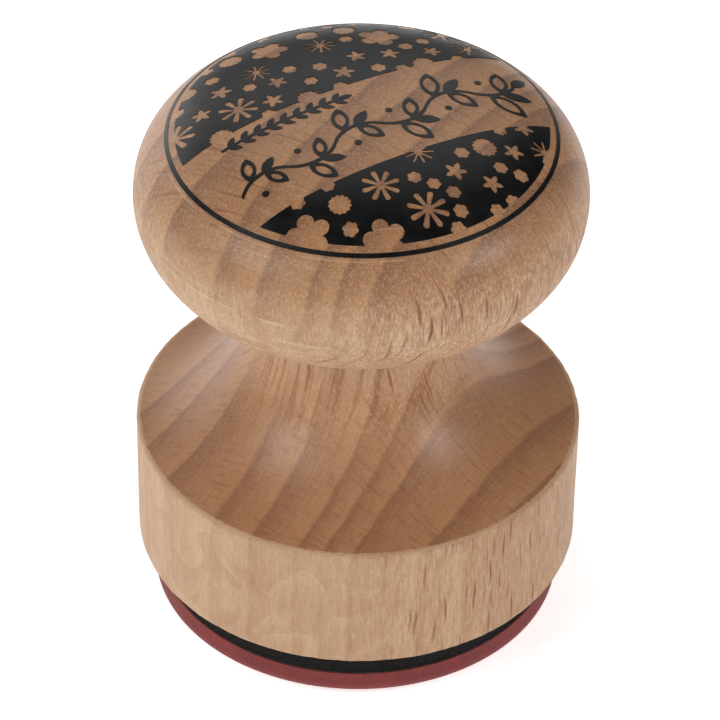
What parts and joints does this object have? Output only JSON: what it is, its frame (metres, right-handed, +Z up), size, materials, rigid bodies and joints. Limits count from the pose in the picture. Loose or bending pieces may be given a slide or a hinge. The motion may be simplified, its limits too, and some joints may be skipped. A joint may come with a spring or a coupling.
{
  "type": "rubber stamp",
  "caption": "Round hand stamp: turned wooden knob handle with a printed floral crown, a foam cushion and a red rubber die.",
  "frame": {"origin": "centre of the printing face, where the stamp stands on the table", "axes": "+Z up along the handle's turning axis; the artwork on the crown reads upright from above with +X to the right and +Y away"},
  "size_m": [0.047, 0.047, 0.0612],
  "materials": {
    "beech": "fine sanded, thin satin lacquer",
    "printed_ink": "thin black printed ink, satin",
    "adhesive": "thin tacky film",
    "foam": "matte black fine-celled foam",
    "red_rubber": "matte brick red"
  },
  "bodies": {
    "die": {"rubber_die": "red_rubber", "lower_adhesive_film": "adhesive", "foam_cushion": "foam"},
    "handle": {"wooden_handle": "beech", "ink_border_ring": "printed_ink", "ink_flower_panel_back": "printed_ink", "ink_flower_panel_front": "printed_ink", "ink_vine": "printed_ink", "upper_adhesive_film": "adhesive"}
  },
  "joints": [
    {"name": "foam_squeeze", "type": "slide", "parent": "die", "child": "handle", "axis": [0, 0, -1], "range_m": [0, 0.0008], "stiffness_N_per_m": 40000, "deforming": ["foam_cushion"]}
  ]
}
